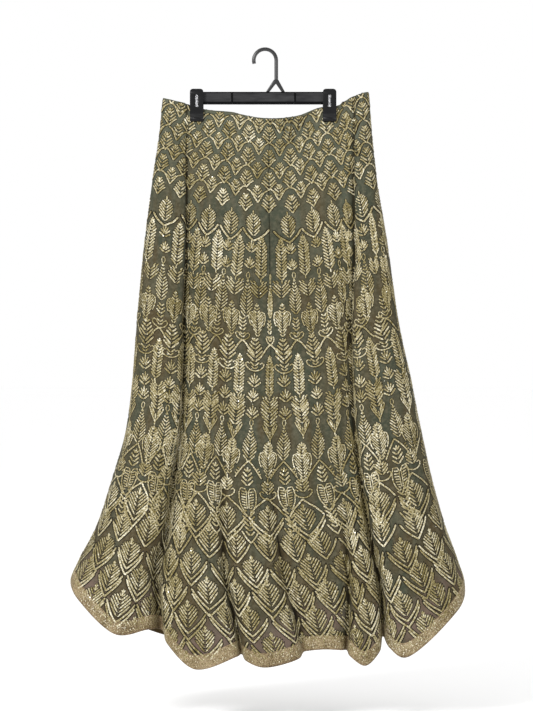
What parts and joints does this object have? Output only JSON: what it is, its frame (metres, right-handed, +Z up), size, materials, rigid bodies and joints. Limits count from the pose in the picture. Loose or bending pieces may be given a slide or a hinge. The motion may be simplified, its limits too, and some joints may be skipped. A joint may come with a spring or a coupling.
{
  "type": "lehenga skirt on a clip hanger",
  "caption": "Flared lehenga skirt of embroidered net over a lining, in soft vertical folds with an uneven open hem, held flat by a black two-clip hanger.",
  "frame": {"origin": "inside top of the hanger's hook, on the midplane between the skirt's front and back, where a rail carries it", "axes": "+Z up, the skirt's front faces -Y, +X to the right of someone who looks at the front"},
  "size_m": [0.7872, 0.1946, 1.2337],
  "materials": {
    "net": "grey-green net covered in pale gold metallic thread embroidery",
    "border": "dense sand-gold thread edging",
    "lining": "plain satin, grey-green to brown-grey",
    "plastic": "moulded, glossy black",
    "steel": "bright strip spring"
  },
  "bodies": {
    "root": {"skirt_front_left": "net", "skirt_front_right": "net", "skirt_back": "net", "hem_border_front": "border", "hem_border_back": "border", "lining_front": "lining", "lining_back": "lining", "hanger_hook": "plastic", "hanger_root": "plastic", "hanger_bar": "plastic", "clip_left_sleeve": "plastic", "clip_left_front_jaw": "plastic", "clip_left_back_jaw": "plastic", "clip_left_spring": "steel", "clip_right_sleeve": "plastic", "clip_right_front_jaw": "plastic", "clip_right_back_jaw": "plastic", "clip_right_spring": "steel"}
  },
  "joints": []
}
